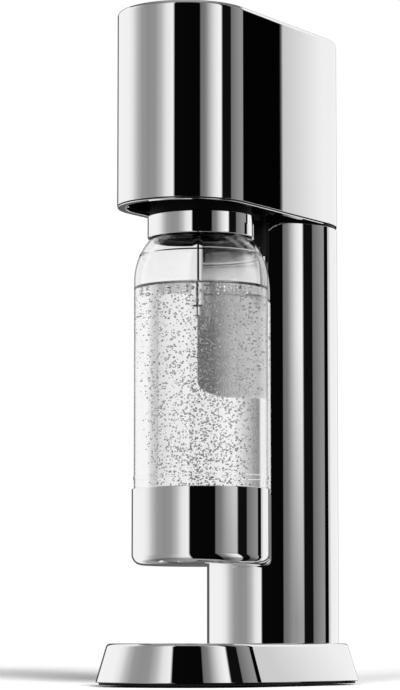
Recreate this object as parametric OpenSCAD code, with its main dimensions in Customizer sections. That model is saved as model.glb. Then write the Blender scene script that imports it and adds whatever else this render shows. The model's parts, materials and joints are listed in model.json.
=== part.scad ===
// Sparkling water maker: a polished column on a flared base carries an oblong head that overhangs
// the bottle. A tilting carrier holds the bottle by its neck, and a button on top opens the gas.
// Millimetres, +Z up, front towards -Y, origin on the table under the middle of the base.

/* [Fits] */
// Thickness of the polished steel skins
skin = 1.2; // [0.8:0.1:1.6]
// Air left round pieces that only sit in place
fit_gap = 0.3; // [0.2:0.05:0.4]
// Running clearance of pins, stems and sleeves on the radius
run_gap = 0.05; // [0.02:0.01:0.1]

/* [Base] */
// Height of the skirt's lower edge above the table
foot_h = 3; // [2.6:0.1:5]
// Height of the flared skirt
base_h = 24.8; // [22:0.1:32]
// End radius of the skirt at its lower edge
base_low_r = 57.9; // [56:0.1:64]
// End radius of the skirt at its top
base_top_r = 50.4; // [49.5:0.1:54]
// Rounding of the skirt's top edge
base_edge_r = 2; // [1.4:0.1:3]
// Lift of the floor plate above the table
plate_lift = 1.2; // [0.8:0.1:1.6]
// Thickness of the floor plate
plate_t = 3.8; // [3.2:0.1:5]
// Radius of a rubber foot
foot_r = 7; // [5:0.5:8]
// Depth of a foot's recess in the floor plate
foot_recess = 1.3; // [1:0.1:1.6]
// Radius of the posts under the base top
post_r = 5; // [4.6:0.1:5.4]
// Sideways place of the front posts
front_post_x = 24; // [18:1:30]
// Sideways place of the end feet
end_foot_x = 26; // [22:1:28]
// Distance of the end feet past the end centres
end_foot_y = 22; // [18:1:25]
// Sideways place of the middle feet
middle_foot_x = 44; // [38:1:46]

/* [Column and rear cover] */
// Wall of the inner liner
liner_t = 3; // [2:0.1:3.6]
// Dark joint between column and head
shadow_gap = 1.2; // [0.8:0.1:2]
// Half of the angle that the rear cover spans
cover_half = 55; // [52:1:57]
// Angle that the liner stays back from the rear cover's edge
cover_ledge = 3; // [2:0.5:4]
// Distance from the head's top to the rear cover's top edge
cover_drop = 15.6; // [12:0.1:20]
// Thickness of a cover hook
hook_t = 3; // [2:0.1:3.5]
// Height of a cover hook
hook_h = 20; // [12:1:26]
// Gap between a cover hook and the gas cylinder
hook_clear = 2.4; // [1:0.1:4]
// Shank radius of the column screws
screw_r = 1.9; // [1.5:0.1:2]
// Head radius of the column screws
screw_head_r = 4; // [3.4:0.1:4.4]
// Head height of the column screws
screw_head_h = 2.2; // [1.8:0.1:2.4]
// Radius of the liner's screw bosses
boss_r = 4; // [3.6:0.1:4.4]
// Height of the liner's screw bosses
boss_h = 10; // [8:0.5:11]
// Depth of the bosses in the liner's wall
boss_in = 0.6; // [0.4:0.1:1]

/* [Head] */
// Width of the head and of the column
head_w = 89.4; // [88:0.1:94]
// Height of the head
head_h = 129.8; // [126:0.1:140]
// Rounding of the head's top edge
head_edge_r = 3; // [2:0.1:4]
// Width of the rim seen from below
lip_w = 5.3; // [4.6:0.1:5.6]
// Thickness of the trim ring
trim_t = 3; // [2.5:0.1:3.5]
// Thickness of the underside panel
panel_t = 3; // [2.5:0.1:3.5]
// Room round the carrier's hub in the underside panel
swing_gap = 4.7; // [4.2:0.1:5]
// Thickness of the chassis deck
deck_t = 4; // [3:0.1:5]
// Wall of the chassis skirt
skirt_t = 2.5; // [2:0.1:3]
// Sideways place of the panel posts
panel_post_x = 27; // [25:0.5:30]
// Shank radius of the panel screws
panel_screw_r = 1.5; // [1.2:0.1:1.8]
// Length of the panel screws in their posts
panel_screw_l = 12; // [8:0.5:16]
// Head radius of the panel screws
panel_head_r = 3; // [2.4:0.1:3.6]
// Head height of the panel screws
panel_head_h = 1.2; // [0.8:0.1:1.6]

/* [Button] */
// Radius of the button
button_r = 24; // [20:0.5:26]
// Thickness of the button's cap
button_t = 4.2; // [3.4:0.1:5]
// Height of the button over the head's top
button_proud = 1.2; // [0.6:0.1:2]
// Rounding of the button's rim
button_edge_r = 1.2; // [0.6:0.1:1.6]
// Travel of the button
button_travel = 7; // [5:0.5:8]
// Radius of the button's stem
stem_r = 5; // [4:0.1:5.5]
// Radius of the stem's tip on the actuator
stem_tip_r = 1.8; // [1.2:0.1:2.2]
// Room between the button and its guide
guide_gap = 2; // [1.5:0.1:3]
// Wall of the button's guide
guide_t = 2; // [1.6:0.1:2.6]
// Length of the guide's sleeve below its floor
sleeve_l = 6; // [4:0.5:8]
// Height of the guide's floor over the lever
guide_up = 12; // [10.5:0.5:14]
// Mean radius of the return spring
spring_r = 10; // [9.5:0.1:12]
// Wire radius of the return spring
spring_wire_r = 0.8; // [0.5:0.1:1]
// Turns of the return spring
spring_turns = 6; // [4:1:7]

/* [Gas] */
// Radius of the gas cylinder
cylinder_r = 30; // [27:0.5:31]
// Wall of the gas cylinder
cylinder_t = 3; // [2:0.1:4]
// Radius of the gas cylinder's neck
cylinder_neck_r = 12.5; // [11.5:0.1:13]
// Height of the gas cylinder's shoulder
shoulder_h = 40; // [34:1:46]
// Height of the gas cylinder's neck
cylinder_neck_h = 8; // [6:0.5:12]
// Rounding of the gas cylinder's foot
cylinder_foot_r = 6; // [5:0.5:9]
// Room round the gas cylinder in the deck
slot_gap = 1.5; // [1:0.1:2]
// Floor of the cylinder's seat
seat_t = 12; // [11.5:0.5:16]
// Height of the seat's rim over its floor
seat_rim_h = 8; // [5:0.5:12]
// Wall of the seat's rim
seat_rim_t = 1.8; // [1.4:0.1:2.4]
// Radius of the cylinder's valve
valve_r = 12; // [11:0.1:13]
// Length of the valve above the deck
valve_up = 28; // [26:0.5:30]
// Length of the valve between the neck and the deck's underside
valve_flange_h = 5; // [4:0.5:6]
// Radius of the valve's pin
pin_r = 2; // [1.5:0.1:2.5]
// Length of the pin over the valve
pin_up = 4; // [3:0.1:5]
// Length of the pin inside the valve
pin_in = 14; // [10:0.5:18]
// Wall of the connector round the valve
connector_t = 6.6; // [6:0.1:7.5]
// Thickness of the connector's foot plate
connector_foot_t = 4; // [3:0.1:5]
// Sideways reach of the connector's foot plate
connector_foot_x = 37; // [35:0.5:37.5]
// Width of the foot plate's seat on the deck in front of the cylinder
connector_seat = 5; // [4:0.5:8]
// Height of the gas outlet over the deck
outlet_up = 18.2; // [16:0.1:20]
// Radius of the hose
hose_r = 2.5; // [2:0.1:3]
// Radius of the hose's fittings
fitting_r = 4; // [3.4:0.1:4.4]
// Free length of the outlet fitting
fitting_l = 8; // [6:0.5:12]
// Wall of the swivel fitting round the tilt pin
swivel_t = 3.4; // [2.8:0.1:4]
// Height of the swivel fitting's stub
swivel_stub = 2.5; // [1.5:0.1:3]

/* [Cylinder lock] */
// Radius of the lock lever's pins
lock_pin_r = 3; // [2.4:0.1:3.4]
// Height of the lock lever's pivot over the deck
lock_up = 13.2; // [12:0.1:14]
// Reach of the lock lever
lock_reach = 28; // [26:0.5:29]
// Thickness of the lock lever's arms
lock_arm_t = 4; // [3:0.1:4.5]
// Wall of the lock lever's eyes
lock_eye_t = 2.8; // [2:0.1:3]
// Radius of the lock lever's grip
grip_r = 4; // [3.4:0.1:4.4]
// Angle of the closed lock lever below the level
lock_angle = 45; // [40:1:50]

/* [Actuator] */
// Distance from the valve's pin to the actuator's pivot
actuator_back = 26; // [24:0.5:27]
// Width of the actuator
actuator_w = 10; // [8:0.5:11]
// Height of the actuator's beam
actuator_h = 12; // [10:0.5:13]
// Radius of the actuator's pin
actuator_pin_r = 2.5; // [2:0.1:3]
// Thickness of the hanger's ears
ear_t = 4; // [3:0.1:5]
// Wall of the hanger's eyes
ear_eye_t = 4; // [3:0.1:4.5]
// Length of the actuator past its pivot and past the stem
actuator_end = 3; // [2:0.1:4]

/* [Carrier] */
// Thickness of the polished neck ring
ring_t = 1.4; // [1:0.1:1.8]
// Height of the neck ring
ring_h = 14.2; // [12:0.1:14.4]
// Drop of the neck ring's lower edge below the bottle's mouth
ring_drop = 15.7; // [15.4:0.1:16.4]
// Wall of the carrier's hub round the bottle's neck
hub_wall = 5.2; // [4.8:0.1:6]
// Drop of the hub's lower edge below the bottle's mouth
hub_drop = 12; // [11.5:0.1:12.5]
// Thickness of the hub's top
hub_top_t = 7.7; // [6.5:0.1:9]
// Thickness of the mouth seal
seal_t = 3; // [2:0.1:4]
// Height of the tilt axis over the hub's top
pivot_up = 10; // [9:0.1:12]
// Height of the deck over the tilt axis
deck_up = 13.8; // [13:0.1:18]
// Radius of the tilt pin
tilt_pin_r = 3; // [2.4:0.1:3.5]
// Radius of the lugs on the tilt pin
lug_r = 7; // [6.5:0.1:8]
// Thickness of the lugs
lug_t = 5; // [4:0.1:5.5]
// Width of the bracket between the lugs
bracket_w = 16; // [14:0.5:18]
// Width of the swivel fitting
swivel_w = 10; // [9:0.5:11]
// Thickness of the arm over the neck ring
arm_t = 4.1; // [3:0.1:4.4]
// Drop of the arm's foot below the bottle's mouth
arm_drop = 18; // [16:0.5:20]
// Gap between the neck ring and the arm's foot
arm_gap = 3.2; // [2.5:0.1:4]
// Width of the arm over the neck ring
arm_w = 49; // [40:1:52]
// Thickness of the back rest
rest_t = 1.4; // [1:0.1:2.6]
// Length of the back rest below the bottle's mouth
rest_l = 118.7; // [100:0.1:140]
// Half of the back rest's width
rest_half_w = 25; // [22:0.5:28]
// Rounding of the back rest's lower corners
rest_corner_r = 11; // [8:1:20]
// Radius of the carbonation tube
tube_r = 3.5; // [2.5:0.1:4]
// Length of the carbonation tube below the mouth
tube_l = 62.6; // [50:0.1:80]
// Distance of the carbonation tube in front of the bottle's axis
tube_fore = 3.7; // [2:0.1:5]
// Length of the nozzle at the tube's end
nozzle_l = 6.2; // [4:0.1:9]
// Radius of the nozzle's tip
nozzle_tip_r = 1.2; // [0.8:0.1:2]
// Radius of the pressure relief valve
relief_r = 4.5; // [3.5:0.1:5]
// Height of the pressure relief valve
relief_h = 12; // [8:0.5:14]
// Radius of the relief valve's cap
relief_cap_r = 3; // [2:0.1:3.4]
// Height of the relief valve's cap
relief_cap_h = 4; // [3:0.1:5]
// Distance of the relief valve from the tilt axis's middle
relief_x = 21; // [20:0.5:24]

/* [Bottle] */
// Distance of the bottle's axis behind the front end centre
bottle_back = 19.8; // [16:0.1:22]
// Free height under the hanging bottle
under_gap = 50.7; // [44:0.1:60]
// Gap between bottle and column
back_gap = 6.1; // [5.8:0.1:9]
// Outer radius of the bottle
bottle_r = 44; // [42:0.1:46]
// Wall of the bottle
bottle_t = 2; // [1.5:0.1:2.5]
// Rounding of the bottle's foot
bottle_foot_r = 6; // [5:0.1:9]
// Length of the bottle's straight side
side_l = 185; // [170:1:210]
// Radius of the bottle's shoulder
shoulder_r = 41.5; // [39:0.1:44]
// Outer radius of the bottle's neck
neck_r = 26; // [25:0.1:27]
// Length of the bottle's neck
neck_h = 9.9; // [9.6:0.1:11]
// Width of the bead round the neck
bead_w = 2.2; // [1.6:0.1:2.6]
// Height of the bead round the neck
bead_h = 2; // [1.5:0.1:2.4]
// Drop of the bead's underside below the mouth
bead_drop = 6; // [5.5:0.1:6.5]
// Distance of the mouth below the head's rim
mouth_drop = 1.8; // [1.2:0.1:3]
// Wall of the bottle's cup
cup_t = 1.2; // [0.8:0.1:1.4]
// Height of the bottle's cup
cup_h = 49.7; // [40:0.1:65]
// Rounding of the cup's foot
cup_foot_r = 7; // [5:0.1:8]
// Rounding of the cup's rim
cup_rim_r = 0.5; // [0.3:0.1:0.6]
// Wire size of the snap ring that grips the bead
snap_h = 2; // [1.6:0.1:2.2]
// Width of the snap ring
snap_w = 2.6; // [2:0.1:3]

/* [Hidden] */
$fn = 96;
// How far cuts run past a face
over = 1;
// Steps in a rounded edge
edge_steps = 8;

// Colours of the finishes
steel = [0.83, 0.84, 0.86];
black = [0.06, 0.06, 0.07];
grey = [0.55, 0.56, 0.58];
brass = [0.78, 0.63, 0.32];
rubber = [0.1, 0.1, 0.1];
clear = [0.85, 0.92, 0.95, 0.35];

// Radii that follow from the skins and the head's width
head_r = head_w / 2;
skin_r = head_r - skin;
inner_r = skin_r - fit_gap;
liner_r = inner_r - liner_t;
screw_circle = liner_r + boss_in - boss_r;

// Places from front to back
spine_l = bottle_back + bottle_r + back_gap + head_r;
front_y = -spine_l / 2;
column_y = spine_l / 2;
bottle_y = front_y + bottle_back;

// Heights from the table up
base_z = foot_h;
base_top_z = base_z + base_h;
plate_top_z = plate_lift + plate_t;
cup_z = base_top_z + under_gap;
bottle_z = cup_z + cup_t + fit_gap;
shoulder_z = bottle_z + side_l;
shoulder_in = bottle_r - shoulder_r;
neck_z = shoulder_z + sqrt(pow(shoulder_r, 2) - pow(neck_r - shoulder_in, 2));
mouth_z = neck_z + neck_h;
head_z = mouth_z + mouth_drop;
head_top_z = head_z + head_h;
column_top_z = head_z - shadow_gap;
cover_z = base_top_z + fit_gap;
cover_top_z = head_top_z - cover_drop;

// Carrier
bead_r = neck_r + bead_w;
grip_bore_r = bead_r + fit_gap;
hub_r = grip_bore_r + hub_wall;
ring_in_r = hub_r + fit_gap / 2;
ring_r = ring_in_r + ring_t;
ring_z = mouth_z - ring_drop;
ring_top_z = ring_z + ring_h;
hub_z = mouth_z - hub_drop;
seal_z = mouth_z + fit_gap;
hub_roof_z = seal_z + seal_t;
hub_top_z = hub_roof_z + hub_top_t;
snap_z = mouth_z - bead_drop - snap_h - run_gap - fit_gap;
arm_z = ring_top_z + fit_gap;
arm_foot_z = mouth_z - arm_drop;
rest_gap = (back_gap - rest_t) / 2;
rest_r = bottle_r + rest_gap;
rest_z = mouth_z - rest_l;
tube_y = bottle_y - tube_fore;
rest_top_z = arm_z + arm_t;
tilt_z = hub_top_z + pivot_up;
lug_x = bracket_w / 2 + fit_gap;
swivel_x = lug_x + lug_t + over;

// Head
trim_top_z = head_z + trim_t;
panel_top_z = trim_top_z + panel_t;
deck_z = tilt_z + deck_up;
deck_top_z = deck_z + deck_t;
panel_hole_r = hub_r + swing_gap;
panel_post_y = (bottle_y + panel_hole_r + column_y - skin_r) / 2;
slot_r = cylinder_r + slot_gap;

// Gas
seat_top_z = base_top_z + seat_t;
cylinder_top_z = deck_z - valve_flange_h;
cylinder_side_z = cylinder_top_z - cylinder_neck_h - shoulder_h;
valve_top_z = deck_top_z + valve_up;
pin_top_z = valve_top_z + pin_up;
connector_r = valve_r + fit_gap + connector_t;
connector_top_z = valve_top_z - over;
lock_pin_in = connector_r - connector_t / 2;
outlet_z = deck_top_z + outlet_up;
outlet_y = column_y - connector_r - fitting_l;
lock_z = deck_top_z + lock_up;
lock_x = connector_r + fit_gap;
swivel_r = tilt_pin_r + run_gap + swivel_t;
hose_x = swivel_x + swivel_w / 2;
swivel_top_z = tilt_z + swivel_r + swivel_stub;

// Actuator and button
actuator_y = column_y + actuator_back;
actuator_z = pin_top_z + fit_gap;
actuator_top_z = actuator_z + actuator_h;
actuator_pin_z = (actuator_z + actuator_top_z) / 2;
hanger_x = actuator_w / 2 + fit_gap;
cap_top_z = head_top_z + button_proud;
cap_z = cap_top_z - button_t;
stem_z = actuator_top_z + fit_gap;
guide_floor_z = actuator_top_z + guide_up;
guide_r = button_r + guide_gap;
spring_z = guide_floor_z + guide_t;
spring_h = cap_z - spring_z;

// Points of an arc about c, from angle a to angle b
function arc(c, r, a, b) = [for (i = [0:edge_steps]) let (t = a + (b - a) * i / edge_steps)
    c + r * [cos(t), sin(t)]];

// Upright half profile of a solid with rounded foot and top edges
function round_profile(r, z0, z1, foot, top) = concat(
    [[0, z0]],
    foot > 0 ? arc([r - foot, z0 + foot], foot, -90, 0) : [[r, z0]],
    top > 0 ? arc([r - top, z1 - top], top, 0, 90) : [[r, z1]],
    [[0, z1]]);

// Half profile of the flared skirt, drawn in by inset
function skirt_profile(inset, low_z) = let (
    flare = atan2(base_low_r - base_top_r, base_h),
    edge = base_edge_r - inset,
    c = [base_top_r - base_edge_r, base_top_z - base_edge_r],
    slope = tan(flare),
    foot_r = base_low_r - inset / cos(flare) + (base_z - low_z) * slope)
    concat([[0, low_z], [foot_r, low_z]], arc(c, edge, flare, 90), [[0, base_top_z - inset]]);

// Oblong solid with round ends: a half profile carried round both end centres and between them
module oblong(y0, y1) {
    translate([0, y0, 0]) rotate([0, 0, 180]) rotate_extrude(angle = 180) children();
    translate([0, y1, 0]) rotate_extrude(angle = 180) children();
    translate([0, y1, 0]) rotate([90, 0, 0]) linear_extrude(y1 - y0) {
        children();
        mirror([1, 0]) children();
    }
}

// Plain oblong plate
module oblong_plate(y0, y1, r, z0, z1) {
    oblong(y0, y1) translate([0, z0]) square([r, z1 - z0]);
}

// Ring or tube about the upright axis at y
module tube(y, r_in, r_out, z0, z1) {
    translate([0, y, z0]) difference() {
        cylinder(r = r_out, h = z1 - z0);
        translate([0, 0, -over]) cylinder(r = r_in, h = z1 - z0 + 2 * over);
    }
}

// Upright post
module post(p, r, z0, z1) {
    translate([p[0], p[1], z0]) cylinder(r = r, h = z1 - z0);
}

// Round bar along X
module cross_bar(x0, x1, y, z, r) {
    translate([x0, y, z]) rotate([0, 90, 0]) cylinder(r = r, h = x1 - x0);
}

// Wedge about the column's axis that opens to the rear
module rear_wedge(half, z0, z1) {
    reach = (head_r + over) / cos(half / edge_steps);
    translate([0, column_y, z0]) linear_extrude(z1 - z0)
        polygon(concat([[0, 0]], [for (i = [0:edge_steps]) let (a = half * (2 * i / edge_steps - 1))
            reach * [sin(a), cos(a)]]));
}

// Round tube swept along points; side is a direction that no stretch runs along
module swept(points, r, sides, side) {
    n = len(points);
    function along(i) = points[min(i + 1, n - 1)] - points[max(i - 1, 0)];
    rings = [for (i = [0:n - 1]) let (
        t = along(i) / norm(along(i)),
        u = cross(t, side) / norm(cross(t, side)),
        v = cross(t, u))
        for (k = [0:sides - 1]) points[i] + r * (cos(360 * k / sides) * u + sin(360 * k / sides) * v)];
    walls = [for (i = [0:n - 2], k = [0:sides - 1]) let (
        a = i * sides + k,
        b = i * sides + (k + 1) % sides)
        each [[a, a + sides, b], [b, a + sides, b + sides]]];
    first = [for (k = [1:sides - 2]) [0, k, k + 1]];
    last = [for (k = [1:sides - 2]) let (a = (n - 1) * sides) [a, a + k + 1, a + k]];
    polyhedron(points = rings, faces = concat(walls, first, last));
}

// Places of the column screws round the column's axis
screw_angles = [20, 160, 230, 310];
function screw_place(a) = [screw_circle * cos(a), column_y + screw_circle * sin(a)];

// Places of the rubber feet
foot_places = [for (s = [-1, 1]) each [
    [end_foot_x * s, front_y - end_foot_y],
    [middle_foot_x * s, 0],
    [end_foot_x * s, column_y + end_foot_y]]];

module base_shell() {
    color(steel) difference() {
        oblong(front_y, column_y) polygon(skirt_profile(0, base_z));
        oblong(front_y, column_y) polygon(skirt_profile(skin, base_z - over));
        for (a = screw_angles)
            post(screw_place(a), screw_r + fit_gap, base_top_z - 2 * skin, base_top_z + over);
    }
}

module base_plate() {
    flare = (base_low_r - base_top_r) / base_h;
    rim_r = base_low_r - skin * sqrt(1 + flare * flare) - (plate_top_z - base_z) * flare - fit_gap;
    roof_z = base_top_z - skin;
    color(black) difference() {
        union() {
            oblong_plate(front_y, column_y, rim_r, plate_lift, plate_top_z);
            for (a = screw_angles) post(screw_place(a), post_r, plate_top_z, roof_z);
            for (s = [-1, 1]) post([front_post_x * s, front_y], post_r, plate_top_z, roof_z);
        }
        for (a = screw_angles) {
            post(screw_place(a), screw_r + fit_gap, 0, roof_z + over);
            post(screw_place(a), screw_head_r + fit_gap, 0, plate_lift + fit_gap + screw_head_h);
        }
        for (p = foot_places) post(p, foot_r + fit_gap, 0, plate_lift + foot_recess);
    }
}

module rubber_feet() {
    color(rubber) for (p = foot_places) post(p, foot_r, 0, plate_lift + foot_recess);
}

module column_screws() {
    head_top = plate_lift + fit_gap + screw_head_h;
    color(grey) for (a = screw_angles) {
        post(screw_place(a), screw_head_r, plate_lift + fit_gap, head_top);
        post(screw_place(a), screw_r, head_top, base_top_z + boss_h - over);
    }
}

module column_shell() {
    color(steel) difference() {
        tube(column_y, skin_r, head_r, base_top_z, column_top_z);
        rear_wedge(cover_half, base_top_z - over, column_top_z + over);
    }
}

module column_liner() {
    color(black) difference() {
        union() {
            difference() {
                tube(column_y, liner_r, inner_r, base_top_z, deck_z);
                rear_wedge(cover_half + cover_ledge, base_top_z - over, deck_z + over);
            }
            intersection() {
                for (a = screw_angles) post(screw_place(a), boss_r, base_top_z, base_top_z + boss_h);
                post([0, column_y], inner_r - liner_t / 2, base_top_z, base_top_z + boss_h);
            }
        }
        for (a = screw_angles)
            post(screw_place(a), screw_r + run_gap, base_top_z - over, base_top_z + boss_h + over);
    }
}

module rear_cover() {
    play = fit_gap / head_r * 180 / PI;
    color(steel) intersection() {
        tube(column_y, skin_r, head_r, cover_z, cover_top_z - fit_gap);
        rear_wedge(cover_half - play, cover_z - over, cover_top_z + over);
    }
}

module cover_hooks() {
    hook_r = skin_r - run_gap;
    hook_x = (cylinder_r + hook_clear) * sin(cover_half - cover_ledge);
    hook_y = (cylinder_r + hook_clear) * cos(cover_half - cover_ledge);
    low_z = base_top_z + 2 * seat_t + seat_rim_h + hook_h;
    color(black) intersection() {
        for (s = [-1, 1], z = [low_z, head_z - 2 * hook_h])
            translate([s * (hook_x + hook_t / 2) - hook_t / 2, column_y + hook_y, z])
                cube([hook_t, hook_r, hook_h]);
        post([0, column_y], hook_r, base_top_z, head_top_z);
    }
}

module cylinder_seat() {
    rim_r = cylinder_r + fit_gap + seat_rim_t;
    color(black) difference() {
        post([0, column_y], rim_r, base_top_z, seat_top_z + seat_rim_h);
        post([0, column_y], cylinder_r + fit_gap, seat_top_z, seat_top_z + seat_rim_h + over);
        for (a = screw_angles)
            post(screw_place(a), boss_r + fit_gap, base_top_z - over, base_top_z + boss_h + fit_gap);
    }
}

// Half profile of the gas cylinder, drawn in by inset
function cylinder_profile(inset) = let (
    r = cylinder_r - inset,
    n = cylinder_neck_r - inset,
    z = cylinder_side_z,
    top = inset > 0 ? cylinder_top_z + over : cylinder_top_z)
    concat(
        [[0, seat_top_z + inset]],
        arc([cylinder_r - cylinder_foot_r, seat_top_z + cylinder_foot_r], cylinder_foot_r - inset, -90, 0),
        [for (i = [0:edge_steps]) let (a = 90 * i / edge_steps)
            [n + (r - n) * cos(a), z + (shoulder_h - inset) * sin(a)]],
        [[n, top], [0, top]]);

module gas_cylinder() {
    color(grey) translate([0, column_y, 0]) difference() {
        rotate_extrude() polygon(cylinder_profile(0));
        rotate_extrude() polygon(cylinder_profile(cylinder_t));
    }
}

module cylinder_valve() {
    stem_in_r = cylinder_neck_r - cylinder_t - fit_gap;
    color(brass) difference() {
        union() {
            post([0, column_y], stem_in_r, cylinder_top_z - cylinder_neck_h, cylinder_top_z);
            post([0, column_y], cylinder_neck_r, cylinder_top_z, deck_z);
            post([0, column_y], valve_r, deck_z, valve_top_z);
        }
        post([0, column_y], pin_r + run_gap, valve_top_z - pin_in - button_travel, valve_top_z + over);
    }
}

module valve_pin() {
    color(steel) post([0, column_y], pin_r, valve_top_z - pin_in, pin_top_z);
}

module valve_connector() {
    bore_r = valve_r + fit_gap;
    back_y = column_y - lock_pin_r - lock_eye_t - over;
    front_edge = column_y - slot_r - connector_seat;
    color(black) difference() {
        union() {
            post([0, column_y], connector_r, deck_top_z, connector_top_z);
            translate([-connector_foot_x, front_edge, deck_top_z])
                cube([2 * connector_foot_x, back_y - front_edge, connector_foot_t]);
        }
        post([0, column_y], bore_r, deck_top_z - over, connector_top_z + over);
        for (s = [0, 180]) translate([0, column_y, lock_z]) rotate([0, 90, s])
            translate([0, 0, lock_pin_in]) cylinder(r = lock_pin_r + run_gap, h = connector_t);
        translate([0, column_y - lock_pin_in, outlet_z]) rotate([90, 0, 0])
            cylinder(r = fitting_r + run_gap, h = connector_t);
    }
}

module lock_pins() {
    length = connector_t / 2 + fit_gap + lock_arm_t;
    color(grey) for (s = [0, 180]) translate([0, column_y, lock_z]) rotate([0, 90, s])
        translate([0, 0, lock_pin_in]) cylinder(r = lock_pin_r, h = length);
}

module lock_lever() {
    eye_r = lock_pin_r + lock_eye_t;
    color(grey) translate([0, column_y, lock_z]) rotate([-lock_angle, 0, 0]) difference() {
        union() {
            for (s = [-1, 1]) translate([s * (lock_x + lock_arm_t / 2), 0, 0]) {
                cross_bar(-lock_arm_t / 2, lock_arm_t / 2, 0, 0, eye_r);
                translate([-lock_arm_t / 2, 0, -grip_r]) cube([lock_arm_t, lock_reach, 2 * grip_r]);
            }
            cross_bar(-lock_x - lock_arm_t, lock_x + lock_arm_t, lock_reach, 0, grip_r);
        }
        cross_bar(-2 * lock_x, 2 * lock_x, 0, 0, lock_pin_r + run_gap);
    }
}

module outlet_fitting() {
    color(brass) translate([0, outlet_y, outlet_z]) rotate([-90, 0, 0])
        cylinder(r = fitting_r, h = fitting_l + connector_t / 2);
}

module swivel_fitting() {
    color(brass) difference() {
        union() {
            cross_bar(swivel_x, swivel_x + swivel_w, bottle_y, tilt_z, swivel_r);
            post([hose_x, bottle_y], fitting_r, tilt_z, swivel_top_z);
        }
        cross_bar(swivel_x - over, swivel_x + swivel_w + over, bottle_y, tilt_z, tilt_pin_r + run_gap);
    }
}

// Route of the hose: up from the swivel through the deck, a quarter turn, a sideways drift and
// a straight end on the outlet
hose_bend_r = 8 * hose_r;
hose_turn_z = outlet_z - hose_bend_r;
hose_end_l = 2 * hose_r;
hose_run = outlet_y - hose_end_l - bottle_y - hose_bend_r;
hose_rise = [for (i = [0:2]) [hose_x, bottle_y, swivel_top_z + (hose_turn_z - swivel_top_z) * i / 3]];
hose_turn = [for (i = [0:edge_steps]) let (a = 90 * i / edge_steps)
    [hose_x, bottle_y + hose_bend_r * (1 - cos(a)), hose_turn_z + hose_bend_r * sin(a)]];
hose_drift = [for (i = [1:10])
    [hose_x * (1 + cos(18 * i)) / 2, bottle_y + hose_bend_r + hose_run * i / 10, outlet_z]];
hose_path = concat(hose_rise, hose_turn, hose_drift, [[0, outlet_y, outlet_z]]);

module gas_hose() {
    color(black) swept(hose_path, hose_r, 8, [1, 0, 0]);
}

module head_shell() {
    color(steel) difference() {
        oblong(front_y, column_y) polygon(round_profile(head_r, head_z, head_top_z, 0, head_edge_r));
        oblong(front_y, column_y)
            polygon(round_profile(skin_r, head_z - over, head_top_z - skin, 0, head_edge_r - skin));
        post([0, bottle_y], button_r + fit_gap, head_top_z - 2 * skin, head_top_z + over);
        rear_wedge(cover_half, head_z - over, cover_top_z);
    }
}

module head_trim() {
    color(steel) difference() {
        oblong_plate(front_y, column_y, inner_r, head_z, trim_top_z);
        oblong_plate(front_y, column_y, head_r - lip_w, head_z - over, trim_top_z + over);
        post([0, column_y], skin_r, head_z - over, trim_top_z + over);
        translate([-head_w, column_y, head_z - over]) cube([2 * head_w, head_w, trim_t + 2 * over]);
    }
}

module underside_panel() {
    color(black) difference() {
        oblong_plate(front_y, column_y, inner_r, trim_top_z, panel_top_z);
        oblong_plate(front_y, bottle_y, panel_hole_r, trim_top_z - over, panel_top_z + over);
        post([0, column_y], skin_r, trim_top_z - over, panel_top_z + over);
        translate([-head_w, column_y, trim_top_z - over]) cube([2 * head_w, head_w, panel_t + 2 * over]);
        for (s = [-1, 1]) post([panel_post_x * s, panel_post_y], panel_screw_r + fit_gap, head_z, deck_z);
    }
}

module head_chassis() {
    color(black) difference() {
        union() {
            oblong_plate(front_y, column_y, inner_r, deck_z, deck_top_z);
            difference() {
                oblong_plate(front_y, column_y, inner_r, panel_top_z, deck_z);
                oblong_plate(front_y, column_y, inner_r - skirt_t, panel_top_z - over, deck_z);
                post([0, column_y], skin_r, panel_top_z - over, deck_z);
                translate([-head_w, column_y, panel_top_z - over])
                    cube([2 * head_w, head_w, deck_z - panel_top_z + over]);
            }
            for (s = [-1, 1]) post([panel_post_x * s, panel_post_y], post_r, panel_top_z, deck_z);
        }
        oblong_plate(column_y, column_y + head_w, slot_r, deck_z - over, deck_top_z + over);
        post([hose_x, bottle_y], fitting_r + over, deck_z - over, deck_top_z + over);
        for (s = [-1, 1])
            post([panel_post_x * s, panel_post_y], panel_screw_r + run_gap,
                panel_top_z - over, panel_top_z + panel_screw_l + over);
    }
}

module panel_screws() {
    color(grey) for (s = [-1, 1]) {
        post([panel_post_x * s, panel_post_y], panel_screw_r, trim_top_z, panel_top_z + panel_screw_l);
        post([panel_post_x * s, panel_post_y], panel_head_r, trim_top_z - panel_head_h, trim_top_z);
    }
}

module button_cap() {
    color(steel) translate([0, bottle_y, 0]) rotate_extrude()
        polygon(round_profile(button_r, cap_z, cap_top_z, 0, button_edge_r));
}

module button_stem() {
    tip_h = stem_r - stem_tip_r;
    color(black) translate([0, bottle_y, stem_z]) {
        cylinder(r1 = stem_tip_r, r2 = stem_r, h = tip_h);
        translate([0, 0, tip_h]) cylinder(r = stem_r, h = cap_z - stem_z - tip_h);
    }
}

module button_guide() {
    roof_z = head_top_z - skin;
    color(black) difference() {
        union() {
            tube(bottle_y, guide_r, guide_r + guide_t, guide_floor_z, roof_z);
            post([0, bottle_y], guide_r + guide_t, guide_floor_z, spring_z);
            post([0, bottle_y], stem_r + run_gap + guide_t, guide_floor_z - sleeve_l, spring_z + guide_t);
        }
        post([0, bottle_y], stem_r + run_gap, guide_floor_z - sleeve_l - over, roof_z);
    }
}

// Return spring: one wire wound between the guide's floor and the cap
spring_rings = 8 * spring_turns;
spring_low_z = spring_z + spring_wire_r + run_gap;
spring_rise = spring_h - 2 * (spring_wire_r + run_gap);
spring_path = [for (i = [0:spring_rings]) let (t = i / spring_rings, a = 360 * spring_turns * t)
    [spring_r * cos(a), spring_r * sin(a), spring_low_z + spring_rise * t]];

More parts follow.
